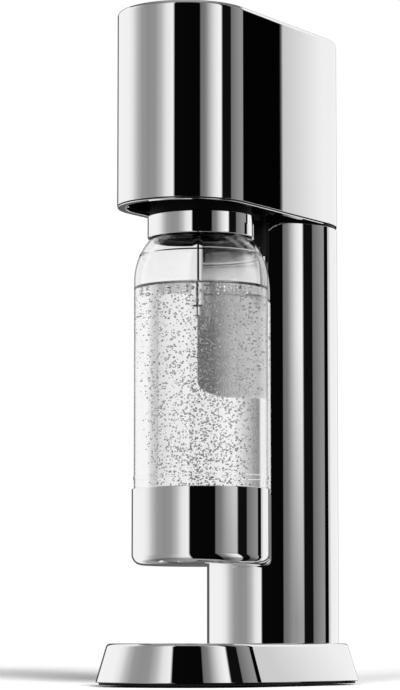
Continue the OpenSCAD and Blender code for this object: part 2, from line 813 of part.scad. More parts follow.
module button_spring() {
    color(steel) translate([0, bottle_y, 0]) swept(spring_path, spring_wire_r, 6, [0, 0, 1]);
}

module actuator_lever() {
    nose_y = bottle_y - stem_r - actuator_end;
    tail_y = actuator_y + actuator_pin_r + actuator_end;
    color(grey) difference() {
        translate([-actuator_w / 2, nose_y, actuator_z]) cube([actuator_w, tail_y - nose_y, actuator_h]);
        cross_bar(-actuator_w, actuator_w, actuator_y, actuator_pin_z, actuator_pin_r + run_gap);
    }
}

module actuator_pin() {
    reach = hanger_x + ear_t;
    color(steel) cross_bar(-reach, reach, actuator_y, actuator_pin_z, actuator_pin_r);
}

module actuator_hanger() {
    eye_r = actuator_pin_r + ear_eye_t;
    roof_z = head_top_z - skin;
    reach = hanger_x + ear_t;
    color(grey) difference() {
        union() {
            for (s = [-1, 1]) translate([s * (hanger_x + ear_t / 2), 0, 0]) {
                cross_bar(-ear_t / 2, ear_t / 2, actuator_y, actuator_pin_z, eye_r);
                translate([-ear_t / 2, actuator_y - eye_r, actuator_pin_z])
                    cube([ear_t, 2 * eye_r, roof_z - actuator_pin_z]);
            }
            translate([-reach, actuator_y - eye_r, roof_z - ear_t])
                cube([2 * reach, 2 * eye_r, ear_t]);
        }
        cross_bar(-reach - over, reach + over, actuator_y, actuator_pin_z, actuator_pin_r + run_gap);
    }
}

module carrier_bracket() {
    half_w = bracket_w / 2;
    color(grey) difference() {
        union() {
            cross_bar(-half_w, half_w, bottle_y, tilt_z, lug_r);
            translate([-half_w, bottle_y - lug_r, tilt_z]) cube([bracket_w, 2 * lug_r, deck_z - tilt_z]);
        }
        cross_bar(-half_w - over, half_w + over, bottle_y, tilt_z, tilt_pin_r + run_gap);
    }
}

module tilt_pin() {
    color(steel) cross_bar(-lug_x - lug_t, swivel_x + swivel_w, bottle_y, tilt_z, tilt_pin_r);
}

module carrier_hub() {
    arm_y = ring_r + arm_gap;
    foot_out_r = rest_r - run_gap;
    color(black) difference() {
        union() {
            post([0, bottle_y], hub_r, hub_z, hub_top_z);
            for (s = [-1, 1]) translate([s * (lug_x + lug_t / 2), 0, 0]) {
                cross_bar(-lug_t / 2, lug_t / 2, bottle_y, tilt_z, lug_r);
                translate([-lug_t / 2, bottle_y - lug_r, hub_top_z]) cube([lug_t, 2 * lug_r, pivot_up]);
            }
            intersection() {
                post([0, bottle_y], foot_out_r, arm_foot_z, arm_z + arm_t);
                union() {
                    translate([-head_r, bottle_y + arm_y, arm_foot_z])
                        cube([head_w, head_w, arm_z - arm_foot_z + arm_t]);
                    translate([-arm_w / 2, bottle_y, arm_z]) cube([arm_w, head_w, arm_t]);
                }
            }
        }
        post([0, bottle_y], grip_bore_r, hub_z - over, hub_roof_z);
        post([0, bottle_y], grip_bore_r + snap_w + run_gap, snap_z - run_gap, snap_z + snap_h + run_gap);
        post([0, bottle_y], grip_bore_r + snap_w - over, hub_z - over, snap_z);
        post([0, tube_y], tube_r + run_gap, hub_z, hub_top_z - over);
        cross_bar(-hub_r, hub_r, bottle_y, tilt_z, tilt_pin_r + run_gap);
    }
}

module neck_ring() {
    edge = ring_t / 3;
    color(steel) translate([0, bottle_y, 0]) rotate_extrude() polygon([
        [ring_in_r, ring_z], [ring_r - edge, ring_z], [ring_r, ring_z + edge],
        [ring_r, ring_top_z - edge], [ring_r - edge, ring_top_z], [ring_in_r, ring_top_z]]);
}

module snap_ring() {
    color(steel) tube(bottle_y, grip_bore_r, grip_bore_r + snap_w, snap_z, snap_z + snap_h);
}

module mouth_seal() {
    color(rubber) difference() {
        post([0, bottle_y], grip_bore_r - fit_gap, seal_z, hub_roof_z);
        post([0, tube_y], tube_r + fit_gap, seal_z - over, hub_roof_z + over);
    }
}

module carbonation_tube() {
    color(grey) post([0, tube_y], tube_r, mouth_z - tube_l, hub_top_z - over);
}

module nozzle() {
    color(black) translate([0, tube_y, mouth_z - tube_l - nozzle_l])
        cylinder(r1 = nozzle_tip_r, r2 = tube_r, h = nozzle_l);
}

module relief_valve() {
    body_top_z = hub_top_z + relief_h - relief_cap_h;
    color(brass) {
        post([-relief_x, bottle_y], relief_r, hub_top_z, body_top_z);
        post([-relief_x, bottle_y], relief_cap_r, body_top_z, hub_top_z + relief_h);
    }
}

module back_rest() {
    straight_z = rest_z + rest_corner_r;
    corner_x = rest_half_w - rest_corner_r;
    color(grey) intersection() {
        tube(bottle_y, rest_r, rest_r + rest_t, rest_z, rest_top_z);
        translate([0, bottle_y + rest_r + rest_t + over, 0]) rotate([90, 0, 0]) linear_extrude(rest_r) {
            translate([-rest_half_w, straight_z]) square([2 * rest_half_w, rest_top_z - straight_z]);
            translate([-corner_x, rest_z]) square([2 * corner_x, rest_top_z - rest_z]);
            for (s = [-1, 1]) translate([corner_x * s, straight_z]) circle(r = rest_corner_r);
        }
    }
}

// Half profile of the bottle, drawn in by inset, with its neck carried up to top_z
function bottle_profile(inset, top_z) = let (
    c = [shoulder_in, shoulder_z],
    r = shoulder_r - inset,
    foot = bottle_foot_r - inset,
    n = neck_r - inset,
    turn = acos((n - shoulder_in) / r))
    concat(
        [[0, bottle_z + inset]],
        arc([bottle_r - bottle_foot_r, bottle_z + bottle_foot_r], foot, -90, 0),
        arc(c, r, 0, turn),
        [[n, top_z], [0, top_z]]);

module bottle_body() {
    color(clear) translate([0, bottle_y, 0]) difference() {
        union() {
            rotate_extrude() polygon(bottle_profile(0, mouth_z));
            translate([0, 0, mouth_z - bead_drop]) cylinder(r = bead_r, h = bead_h);
        }
        rotate_extrude() polygon(bottle_profile(bottle_t, mouth_z + over));
    }
}

module bottle_cup() {
    cup_in_r = bottle_r + fit_gap / 2;
    cup_r = cup_in_r + cup_t;
    cup_top_z = cup_z + cup_h;
    color(steel) translate([0, bottle_y, 0]) difference() {
        rotate_extrude() polygon(round_profile(cup_r, cup_z, cup_top_z, cup_foot_r, cup_rim_r));
        rotate_extrude()
            polygon(round_profile(cup_in_r, cup_z + cup_t, cup_top_z + over, cup_foot_r - cup_t, 0));
    }
}

base_shell();
base_plate();
rubber_feet();
column_screws();
column_shell();
column_liner();
rear_cover();
cover_hooks();
cylinder_seat();
gas_cylinder();
cylinder_valve();
valve_pin();
valve_connector();
lock_lever();
lock_pins();
outlet_fitting();
gas_hose();
swivel_fitting();
head_shell();
head_trim();
underside_panel();
head_chassis();
panel_screws();
button_cap();
button_stem();
button_guide();
button_spring();
actuator_lever();
actuator_pin();
actuator_hanger();
carrier_bracket();
tilt_pin();
carrier_hub();
neck_ring();
snap_ring();
mouth_seal();
carbonation_tube();
nozzle();
relief_valve();
back_rest();
bottle_body();
bottle_cup();
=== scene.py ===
import json
import math
import random

import bpy
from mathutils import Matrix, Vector, noise


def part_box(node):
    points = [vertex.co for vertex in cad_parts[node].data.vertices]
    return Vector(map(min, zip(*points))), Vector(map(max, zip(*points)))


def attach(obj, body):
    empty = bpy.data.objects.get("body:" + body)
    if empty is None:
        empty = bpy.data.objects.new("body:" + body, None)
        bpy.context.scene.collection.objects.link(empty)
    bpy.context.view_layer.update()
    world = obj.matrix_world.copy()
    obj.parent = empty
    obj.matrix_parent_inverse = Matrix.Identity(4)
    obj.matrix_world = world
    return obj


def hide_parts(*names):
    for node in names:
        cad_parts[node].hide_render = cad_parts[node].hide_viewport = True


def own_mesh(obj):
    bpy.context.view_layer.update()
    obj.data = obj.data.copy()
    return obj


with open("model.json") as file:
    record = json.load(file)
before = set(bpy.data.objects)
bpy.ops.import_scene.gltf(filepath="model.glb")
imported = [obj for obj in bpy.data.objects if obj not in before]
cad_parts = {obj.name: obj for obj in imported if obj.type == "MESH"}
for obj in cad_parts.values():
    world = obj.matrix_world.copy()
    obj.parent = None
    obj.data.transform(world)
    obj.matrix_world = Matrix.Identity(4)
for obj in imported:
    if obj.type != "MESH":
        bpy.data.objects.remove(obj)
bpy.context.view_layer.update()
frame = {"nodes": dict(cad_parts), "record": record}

mm = 0.001
weldGap = 1e-6  # points closer than this, in metres, are one point

# Places that every piece shares, read from the frame
headLow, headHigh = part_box("head_shell")
headRadius = headHigh.x
frontY = headLow.y + headRadius
columnY = headHigh.y - headRadius
spine = columnY - frontY
bottleLow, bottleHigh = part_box("bottle_body")
bottleRadius = bottleHigh.x
bottleY = (bottleLow.y + bottleHigh.y) / 2
tubeLow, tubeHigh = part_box("carbonation_tube")
tubeY = (tubeLow.y + tubeHigh.y) / 2
print("frame loaded: spine", round(spine / mm, 1), "mm, bottle axis at", round(bottleY / mm, 1), "mm")


# Modelling steps

def arc(centre, radius, fromDeg, toDeg, parts=8):
    angles = [math.radians(fromDeg + (toDeg - fromDeg) * i / parts) for i in range(parts + 1)]
    return [(centre[0] + radius * math.cos(a), centre[1] + radius * math.sin(a)) for a in angles]


def pick(piece):
    bpy.ops.object.select_all(action="DESELECT")
    piece.select_set(True)
    bpy.context.view_layer.objects.active = piece


def faceOutwards():
    # turns the faces of the piece in edit mode, and ends that mode
    bpy.ops.mesh.select_all(action="SELECT")
    bpy.ops.mesh.normals_make_consistent(inside=False)
    bpy.ops.object.mode_set(mode="OBJECT")


def turnedPiece(name, outline, centreY, steps=128, startDeg=None, sweepDeg=360):
    # outline is (radius, height) in mm; one vertex is extruded along it and the line is spun
    start = math.pi / steps if startDeg is None else math.radians(startDeg)
    points = [Vector((r * math.cos(start), centreY / mm + r * math.sin(start), z)) * mm
              for r, z in outline]
    bpy.ops.object.select_all(action="DESELECT")
    bpy.ops.mesh.primitive_plane_add(size=mm, location=points[0])
    piece = bpy.context.object
    piece.name = name
    bpy.ops.object.transform_apply(location=True)
    bpy.ops.object.mode_set(mode="EDIT")
    bpy.ops.mesh.select_all(action="SELECT")
    bpy.ops.mesh.merge(type="CENTER")
    for before, after in zip(points, points[1:]):
        bpy.ops.mesh.extrude_vertices_move(TRANSFORM_OT_translate={"value": after - before})
    bpy.ops.mesh.select_all(action="SELECT")
    bpy.ops.mesh.remove_doubles(threshold=weldGap / 10)
    if sweepDeg < 360:
        bpy.ops.mesh.edge_face_add()
    bpy.ops.mesh.spin(steps=steps, angle=-math.radians(sweepDeg), center=(0, centreY, 0),
                      axis=(0, 0, 1))
    bpy.ops.mesh.select_all(action="SELECT")
    bpy.ops.mesh.remove_doubles(threshold=weldGap)
    faceOutwards()
    return piece


def selectVerts(piece, wanted):
    pick(piece)
    bpy.ops.object.mode_set(mode="EDIT")
    bpy.ops.mesh.select_mode(type="VERT")
    bpy.ops.mesh.select_all(action="DESELECT")
    bpy.ops.object.mode_set(mode="OBJECT")
    for vertex in piece.data.vertices:
        vertex.select = wanted(vertex.co)
    bpy.ops.object.mode_set(mode="EDIT")


def stretchRear(piece):
    # a turned piece becomes oblong: its rear half moves back by the length of the spine
    selectVerts(piece, lambda co: co.y > frontY)
    bpy.ops.transform.translate(value=(0, spine, 0))
    bpy.ops.object.mode_set(mode="OBJECT")


def fillLoop(piece, height):
    selectVerts(piece, lambda co: abs(co.z - height) < weldGap)
    bpy.ops.mesh.edge_face_add()
    faceOutwards()


def applyModifier(piece, kind, **settings):
    pick(piece)
    modifier = piece.modifiers.new(kind.lower(), kind)
    for key, value in settings.items():
        setattr(modifier, key, value)
    bpy.ops.object.modifier_apply(modifier=modifier.name)


def roundEdges(piece, widthMm, segments=3, sharpDeg=50):
    applyModifier(piece, "BEVEL", width=widthMm * mm, segments=segments, limit_method="ANGLE",
                  angle_limit=math.radians(sharpDeg))


def roundCutter(radius, depthMm, place, vertices):
    bpy.ops.object.select_all(action="DESELECT")
    bpy.ops.mesh.primitive_cylinder_add(vertices=vertices, radius=radius, depth=depthMm * mm,
                                        location=place)
    return bpy.context.object


def cutAway(piece, cutter):
    applyModifier(piece, "BOOLEAN", operation="DIFFERENCE", solver="EXACT", object=cutter)
    bpy.data.objects.remove(cutter)


def smoothPiece(piece, angleDeg=35):
    pick(piece)
    bpy.ops.object.shade_smooth_by_angle(angle=math.radians(angleDeg))
    applyModifier(piece, "WEIGHTED_NORMAL", mode="FACE_AREA", weight=50, keep_sharp=True)


def finishPiece(piece, material, body, slot, *nodes):
    piece.data.materials.clear()
    piece.data.materials.append(material)
    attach(piece, body)
    if nodes:
        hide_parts(*nodes)
    return piece


# Materials

def linear(hexColour):
    parts = [int(hexColour[i:i + 2], 16) / 255 for i in (1, 3, 5)]
    return [c / 12.92 if c <= 0.04045 else ((c + 0.055) / 1.055) ** 2.4 for c in parts] + [1.0]


def addNode(tree, kind, inputs=None, **settings):
    node = tree.nodes.new(kind)
    for key, value in settings.items():
        setattr(node, key, value)
    for socket, value in (inputs or {}).items():
        if isinstance(value, tuple) and isinstance(value[0], bpy.types.Node):
            tree.links.new(value[0].outputs[value[1]], node.inputs[socket])
        else:
            node.inputs[socket].default_value = value
    return node


def newMaterial(name, **sockets):
    material = bpy.data.materials.new(name)
    material.use_nodes = True
    tree = material.node_tree
    shader = tree.nodes["Principled BSDF"]
    for socket, value in sockets.items():
        shader.inputs[socket.replace("_", " ")].default_value = value
    place = addNode(tree, "ShaderNodeTexCoord")
    return material, tree, shader, place


def perMetre(sizeMm):
    return 1 / (sizeMm * mm)


def mixColour(tree, factor, first, second, blend="MIX"):
    return addNode(tree, "ShaderNodeMix", {0: factor, 6: first, 7: second}, data_type="RGBA",
                   blend_type=blend)


def compare(tree, value, limit, operation="GREATER_THAN"):
    return addNode(tree, "ShaderNodeMath", {0: value, 1: limit}, operation=operation)


def noisePattern(tree, place, sizeMm, detail, **inputs):
    return addNode(tree, "ShaderNodeTexNoise", {"Vector": (place, "Object"), "Scale": perMetre(sizeMm),
                                                "Detail": detail, **inputs})


def setRoughness(tree, shader, source, span, low=0.3, high=0.7):
    # most of a noise pattern lies between these two levels
    rough = addNode(tree, "ShaderNodeMapRange", {"Value": source, "From Min": low, "From Max": high,
                                                 "To Min": span[0], "To Max": span[1]})
    tree.links.new(rough.outputs[0], shader.inputs["Roughness"])


def setTint(tree, shader, source, colours):
    tint = mixColour(tree, source, linear(colours[0]), linear(colours[1]))
    tree.links.new(tint.outputs[2], shader.inputs["Base Color"])


def setBump(tree, shader, source, strength, height):
    bump = addNode(tree, "ShaderNodeBump", {"Height": source, "Strength": strength, "Distance": height})
    tree.links.new(bump.outputs[0], shader.inputs["Normal"])


def mirrorPolishedStainless():
    # stainless sheet buffed to a mirror: crisp reflections, with a faint haze left by the buffing wheel
    look = {"colour": "#F3F3F3", "roughness": (0.004, 0.014), "hazeMm": 45, "detail": 4.0,
            "hazeRough": 0.6}
    material, tree, shader, place = newMaterial("mirror polished stainless steel", Metallic=1.0)
    shader.inputs["Base Color"].default_value = linear(look["colour"])
    haze = noisePattern(tree, place, look["hazeMm"], look["detail"], Roughness=look["hazeRough"])
    setRoughness(tree, shader, (haze, 0), look["roughness"])
    return material


def satinSteel():
    # bead blasted steel under a thin milky lacquer: soft grey, with a fine grain in the reflections
    look = {"colour": "#FCFCFC", "roughness": (0.2, 0.27), "grainMm": 0.9, "detail": 3.0,
            "grainStrength": 0.15, "grainHeight": 0.00001}
    material, tree, shader, place = newMaterial("satin blasted steel", Metallic=0.85)
    shader.inputs["Base Color"].default_value = linear(look["colour"])
    grain = noisePattern(tree, place, look["grainMm"], look["detail"])
    setRoughness(tree, shader, (grain, 0), look["roughness"])
    setBump(tree, shader, (grain, 0), look["grainStrength"], look["grainHeight"])
    return material


def turnedMetal(name, colours, roughness, ringMm):
    # turned or drawn metal: fine rings round the part; a wave texture of scale 1 repeats every cycle
    look = {"cycle": 0.314, "wander": 0.4, "detail": 1.0}
    material, tree, shader, place = newMaterial(name, Metallic=1.0)
    rings = addNode(tree, "ShaderNodeTexWave", {
        "Vector": (place, "Object"), "Scale": perMetre(ringMm) * look["cycle"],
        "Distortion": look["wander"], "Detail": look["detail"]}, bands_direction="Z")
    setRoughness(tree, shader, (rings, "Fac"), roughness, low=0.0, high=1.0)
    setTint(tree, shader, (rings, "Fac"), colours)
    return material


def mouldedPlastic(name, colours, roughness, grainMm, grainHeight, gloss=0.5):
    # moulded plastic or rubber: even colour with the fine spark-eroded grain of the mould
    look = {"grainDetail": 2.0, "grainStrength": 0.3, "cloudMm": 30, "cloudDetail": 3.0}
    material, tree, shader, place = newMaterial(name, IOR=1.53, Specular_IOR_Level=gloss)
    grain = noisePattern(tree, place, grainMm, look["grainDetail"])
    cloud = noisePattern(tree, place, look["cloudMm"], look["cloudDetail"])
    setTint(tree, shader, (cloud, 0), colours)
    setRoughness(tree, shader, (grain, 0), roughness)
    setBump(tree, shader, (grain, 0), look["grainStrength"], grainHeight)
    return material


def clearCopolyester():
    # blown clear bottle plastic: smooth, faintly wavy where the wall thickness drifts
    look = {"colour": "#FEFEFE", "waveMm": 55, "detail": 1.0, "waveStrength": 0.1, "waveHeight": 0.00002}
    material, tree, shader, place = newMaterial("clear copolyester", IOR=1.54, Roughness=0.0,
                                                Transmission_Weight=1.0)
    shader.inputs["Base Color"].default_value = linear(look["colour"])
    wave = noisePattern(tree, place, look["waveMm"], look["detail"])
    setBump(tree, shader, (wave, 0), look["waveStrength"], look["waveHeight"])
    return material


def sparklingWater():
    # clear water; its bubbles are hollows in the mesh, and their walls are tinted grey, a painted shade
    # that makes the bubbles show darker
    look = {"colours": ("#FEFEFE", "#ACACAC"), "wallMm": 3.5, "surfaceMm": 257.6, "rippleMm": 20,
            "detail": 1.0, "rippleStrength": 0.05, "rippleHeight": 0.00002}
    material, tree, shader, place = newMaterial("sparkling water", IOR=1.333, Roughness=0.0,
                                                Transmission_Weight=1.0)
    split = addNode(tree, "ShaderNodeSeparateXYZ", {0: (place, "Object")})
    across = addNode(tree, "ShaderNodeCombineXYZ", {"X": (split, "X"), "Y": (split, "Y")})
    reach = addNode(tree, "ShaderNodeVectorMath", {0: (across, 0), 1: (0, bottleY, 0)},
                    operation="DISTANCE")
    inside = compare(tree, (reach, "Value"), bottleRadius - look["wallMm"] * mm, "LESS_THAN")
    under = compare(tree, (split, "Z"), look["surfaceMm"] * mm, "LESS_THAN")
    shadedBubbleWalls = addNode(tree, "ShaderNodeMath", {0: (inside, 0), 1: (under, 0)}, operation="MULTIPLY")
    # painted shade: the bubbles' walls, inside the bottle's wall and under the surface, get the grey tint
    setTint(tree, shader, (shadedBubbleWalls, 0), look["colours"])
    ripple = noisePattern(tree, place, look["rippleMm"], look["detail"])
    setBump(tree, shader, (ripple, 0), look["rippleStrength"], look["rippleHeight"])
    return material


polishedSteel = mirrorPolishedStainless()
satin = satinSteel()
plainSteel = turnedMetal("turned steel", ("#B9BBBE", "#B3B5B9"), roughness=(0.2, 0.28), ringMm=0.5)
turnedBrass = turnedMetal("turned brass", ("#D3B36A", "#CBAA61"), roughness=(0.18, 0.26), ringMm=0.5)
drawnAluminium = turnedMetal("drawn aluminium", ("#C9CBCE", "#C3C6CA"), roughness=(0.28, 0.36), ringMm=0.8)
blackAbs = mouldedPlastic("moulded black abs", ("#060606", "#0B0B0C"), roughness=(0.38, 0.52),
                          grainMm=0.35, grainHeight=0.00002, gloss=0.12)
glossAbs = mouldedPlastic("gloss black abs", ("#070708", "#0B0B0C"), roughness=(0.08, 0.14),
                          grainMm=0.8, grainHeight=0.000004)
greyAbs = mouldedPlastic("moulded grey abs", ("#8D9094", "#9A9DA1"), roughness=(0.35, 0.5),
                         grainMm=0.35, grainHeight=0.00002)
softRubber = mouldedPlastic("moulded rubber", ("#4A4A4B", "#565657"), roughness=(0.6, 0.8),
                            grainMm=0.5, grainHeight=0.00004, gloss=0.3)
clearPlastic = clearCopolyester()
waterLook = sparklingWater()

finishes = {"polished_steel": polishedSteel, "satin_steel": satin, "steel_parts": plainSteel,
            "black_plastic": blackAbs, "gloss_black": glossAbs, "grey_plastic": greyAbs,
            "clear_plastic": clearPlastic, "rubber": softRubber, "brass": turnedBrass,
            "aluminium": drawnAluminium}
for row in frame["record"]["subparts"]:
    node = frame["nodes"][row["node"]]
    for place in node.material_slots:
        place.material = finishes[row["material_slot"]]
print("materials made:", len(finishes))


# Camera at the photograph's place: a long lens, low on the table, looking slightly up

camera = {"place": (0.9709, -1.6559, 0.0276), "lens": 150.6, "azimuth": 30.98, "pitch": 5.91,
          "sensor": 36}


def setCamera():
    data = bpy.data.cameras.new("photo camera")
    data.lens = camera["lens"]
    data.sensor_width = camera["sensor"]
    view = bpy.data.objects.new("photo camera", data)
    bpy.context.scene.collection.objects.link(view)
    view.location = camera["place"]
    view.rotation_euler = (math.radians(90 + camera["pitch"]), 0, math.radians(camera["azimuth"]))
    bpy.context.scene.camera = view


setCamera()


# Studio: a white room with soft key lights from the camera's side, and cards that only reflections see

studio = {
    # the cards stand in a ring round the table, and polished steel shows them as upright bands
    "ringRadius": 0.7,
    "ringHeight": 0.95,
    "ringSteps": 96,
    # compass angle of a card's edge, 0 in front and 90 to the right, and its brightness as an sRGB level
    "leftCards": [(-117, 252), (-74, 252), (-62, 236), (-52, 194), (-42, 158), (-30, 148), (-18, 152),
                  (-8, 190), (0, 236), (11, 252)],
    "rightCards": [(11.6, 8), (50.8, 6), (51.6, 108), (60, 130), (74, 228), (82, 250), (88.2, 252),
                   (88.8, 16), (107, 14), (108, 112), (126, 145)],
    # the side cards' angles; the head mirrors levels of its own, from a height up
    "sideRange": (128, 160),
    "headCardsLow": 0.405,
    "headCards": [(128, 147), (140, 150), (141, 3), (147.1, 3), (147.2, 206), (150.2, 250)],
    "lowCards": [(128, 147), (134, 152), (135.5, 6), (144.6, 4), (145.2, 212), (149, 214), (153.5, 250)],
    # one card of the ring darkens towards the table: fully at the first height, not at all at the second
    "footShade": [(52, 255), (60, 239), (64.5, 205), (69, 190), (74, 167), (88, 165), (88.8, 255)],
    "footShadeHeights": (0.045, 0.305),
    # the dim end of the room, which draws a thin edge round the polished pieces
    "dimEnd": [(-168, 255), (-166, 110), (-120, 90), (-117, 255)],
    # what refraction shows through the bottle: soft edges of the backdrop on both sides
    "backdrop": [(-180, 203), (-178, 188), (-175, 166), (-172, 202), (-169, 218), (-163, 238),
                 (-150, 252), (-135, 246), (-129, 222), (-126, 198), (-122.5, 174), (-119, 140),
                 (-114, 130), (-111.5, 130), (-109.5, 245), (130, 248), (166, 246), (176, 234),
                 (179.5, 206)],
    # the room above the cards, by how steeply a ray rises
    "overhead": [(0.5, 110), (0.85, 122), (1.0, 180)],
    # what the steel behind the bottle's wall mirrors: the tube, the rest above the water and the rest
    # under it, told apart by the surfaces that a ray has crossed
    "tubeCards": [(-180, 60), (-168, 150), (-150, 185), (-125, 205), (-108, 245), (-40, 248), (8, 235),
                  (12, 15), (50, 15), (54, 240), (80, 235), (110, 190), (140, 160), (150, 30), (178, 40)],
    "dryRestCards": [(-180, 200), (-110, 255), (-60, 255), (-34, 250), (0, 228), (30, 214), (60, 200),
                     (180, 180)],
    "wetRestCards": [(-180, 150), (-60, 240), (-14, 240), (-2, 220), (8, 170), (15, 95), (40, 90),
                     (60, 95), (180, 150)],
    "crossed": {"tubeCards": 0.5, "dryRestCards": 7, "wetRestCards": 10},
    # cards are brighter where they are seen through the bottle
    "throughStrength": 1.15,
    "roomLevel": 0.11,
    # compass, height, strength and softness of each key light
    "keys": [(42, 15, 5.4, 12), (48, 22, 1.9, 14), (18, 16, 2.9, 12)],
    "floorSize": 60.0,
    # reflections see the table glow with the cards' pattern again, a painted reflection, dimmer close
    # under the object as a painted shadow
    "tableShade": 0.36,
    "tableEdge": (0.12, 0.17),
    "bounces": 28,
}


def compass(tree, place, output):
    split = addNode(tree, "ShaderNodeSeparateXYZ", {0: (place, output)})
    forward = addNode(tree, "ShaderNodeMath", {0: (split, "Y"), 1: -1.0}, operation="MULTIPLY")
    turn = addNode(tree, "ShaderNodeMath", {0: (split, "X"), 1: (forward, 0)}, operation="ARCTAN2")
    return addNode(tree, "ShaderNodeMath", {0: (turn, 0)}, operation="DEGREES"), split


def levelRamp(tree, source, output, stops):
    ramp = addNode(tree, "ShaderNodeValToRGB", {"Fac": (source, output)})
    elements = ramp.color_ramp.elements
    for i, (position, level) in enumerate(stops):
        stop = elements[i] if i < 2 else elements.new(1.0)
        stop.position = position
        stop.color = linear("#" + 3 * f"{level:02X}")
    return ramp


def angleRamp(tree, angle, stops, low=-180, high=180):
    along = addNode(tree, "ShaderNodeMapRange", {"Value": (angle, 0), "From Min": low, "From Max": high})
    return levelRamp(tree, along, 0, [((at - low) / (high - low), level) for at, level in stops])


def isMirrored(tree, path):
    return compare(tree, (path, "Glossy Depth"), 0.5)


def cardColour(tree, angle, sideStops):
    # the side cards have a ramp of their own, because their edges are sharp on the head's flat side
    around = angleRamp(tree, angle, studio["leftCards"] + studio["rightCards"])
    side = angleRamp(tree, angle, sideStops, *studio["sideRange"])
    atSide = compare(tree, (angle, 0), studio["sideRange"][0])
    return mixColour(tree, (atSide, 0), (around, "Color"), (side, "Color"))


def setRoom():
    world = bpy.data.worlds.new("studio")
    world.use_nodes = True
    world.cycles.sampling_method = "NONE"
    tree = world.node_tree
    tree.nodes.clear()
    place = addNode(tree, "ShaderNodeTexCoord")
    path = addNode(tree, "ShaderNodeLightPath")
    angle, split = compass(tree, place, "Generated")
    backdrop = angleRamp(tree, angle, studio["backdrop"])
    overhead = levelRamp(tree, split, "Z", studio["overhead"])
    room = [studio["roomLevel"]] * 3 + [1.0]
    through = mixColour(tree, (path, "Is Transmission Ray"), room, (backdrop, "Color"))
    mirrored = isMirrored(tree, path)
    bounced = mixColour(tree, (mirrored, 0), (through, 2), (overhead, "Color"))
    seen = mixColour(tree, (path, "Is Camera Ray"), (bounced, 2), linear("#FFFFFF"))
    light = addNode(tree, "ShaderNodeBackground", {"Color": (seen, 2), "Strength": 1.0})
    addNode(tree, "ShaderNodeOutputWorld", {"Surface": (light, 0)})
    bpy.context.scene.world = world


def setCards():
    bpy.ops.object.select_all(action="DESELECT")
    bpy.ops.mesh.primitive_cylinder_add(vertices=studio["ringSteps"], radius=studio["ringRadius"],
                                        depth=studio["ringHeight"], end_fill_type="NOTHING",
                                        location=(0, 0, studio["ringHeight"] / 2))
    ring = bpy.context.object
    ring.name = "card_ring"
    bpy.ops.object.transform_apply(location=True)
    material = bpy.data.materials.new("studio cards")
    material.use_nodes = True
    material.cycles.emission_sampling = "NONE"
    tree = material.node_tree
    tree.nodes.clear()
    place = addNode(tree, "ShaderNodeTexCoord")
    path = addNode(tree, "ShaderNodeLightPath")
    angle, split = compass(tree, place, "Object")
    upper = compare(tree, (split, "Z"), studio["headCardsLow"])
    cards = mixColour(tree, (upper, 0), (cardColour(tree, angle, studio["lowCards"]), 2),
                      (cardColour(tree, angle, studio["headCards"]), 2))
    footLow, footHigh = studio["footShadeHeights"]
    shading = addNode(tree, "ShaderNodeMapRange", {"Value": (split, "Z"), "From Min": footLow,
                                                   "From Max": footHigh, "To Min": 1.0, "To Max": 0.0})
    footShade = angleRamp(tree, angle, studio["footShade"])
    shaded = mixColour(tree, (shading, 0), (cards, 2), (footShade, "Color"), "MULTIPLY")
    dimEnd = angleRamp(tree, angle, studio["dimEnd"])
    shown = mixColour(tree, 1.0, (shaded, 2), (dimEnd, "Color"), "MULTIPLY")
    through = compare(tree, (path, "Transmission Depth"), 0.5)
    for cardsName, surfaces in studio["crossed"].items():
        past = compare(tree, (path, "Transmission Depth"), surfaces)
        mirroredCards = angleRamp(tree, angle, studio[cardsName])
        shown = mixColour(tree, (past, 0), (shown, 2), (mirroredCards, "Color"))
    mirrored = isMirrored(tree, path)
    clear = addNode(tree, "ShaderNodeBsdfTransparent")
    strength = addNode(tree, "ShaderNodeMapRange", {"Value": (through, 0), "To Min": 1.0,
                                                    "To Max": studio["throughStrength"]})
    glow = addNode(tree, "ShaderNodeEmission", {"Color": (shown, 2), "Strength": (strength, 0)})
    mix = addNode(tree, "ShaderNodeMixShader", {0: (mirrored, 0), 1: (clear, 0), 2: (glow, 0)})
    addNode(tree, "ShaderNodeOutputMaterial", {"Surface": (mix, 0)})
    ring.data.materials.append(material)
    ring.visible_camera = ring.visible_diffuse = ring.visible_shadow = False


def setFloor():
    bpy.ops.object.select_all(action="DESELECT")
    bpy.ops.mesh.primitive_plane_add(size=studio["floorSize"], location=(0, 0, 0))
    floor = bpy.context.object
    floor.name = "floor"
    paper, tree, shader, place = newMaterial("white paper floor", Roughness=0.9, Specular_IOR_Level=0.0)
    shader.inputs["Base Color"].default_value = linear("#FFFFFF")
    paper.cycles.emission_sampling = "NONE"
    path = addNode(tree, "ShaderNodeLightPath")
    angle = compass(tree, place, "Object")[0]
    # painted shadow: the table's glow in reflections is dimmed close under the object
    reach = addNode(tree, "ShaderNodeVectorMath", {0: (place, "Object")}, operation="LENGTH")
    nearEdge, farEdge = studio["tableEdge"]
    far = addNode(tree, "ShaderNodeMapRange", {"Value": (reach, "Value"), "From Min": nearEdge,
                                               "From Max": farEdge, "To Min": studio["tableShade"],
                                               "To Max": 1.0})
    # painted reflection: reflections see the floor glow with the cards' pattern
    table = mixColour(tree, 1.0, (cardColour(tree, angle, studio["lowCards"]), 2),
                      (angleRamp(tree, angle, studio["dimEnd"]), "Color"), "MULTIPLY")
    mirrored = isMirrored(tree, path)
    glow = addNode(tree, "ShaderNodeEmission", {"Color": (table, 2), "Strength": (far, 0)})
    mix = addNode(tree, "ShaderNodeMixShader", {0: (mirrored, 0), 1: (shader, 0), 2: (glow, 0)})
    tree.links.new(mix.outputs[0], tree.nodes["Material Output"].inputs["Surface"])
    floor.data.materials.append(paper)


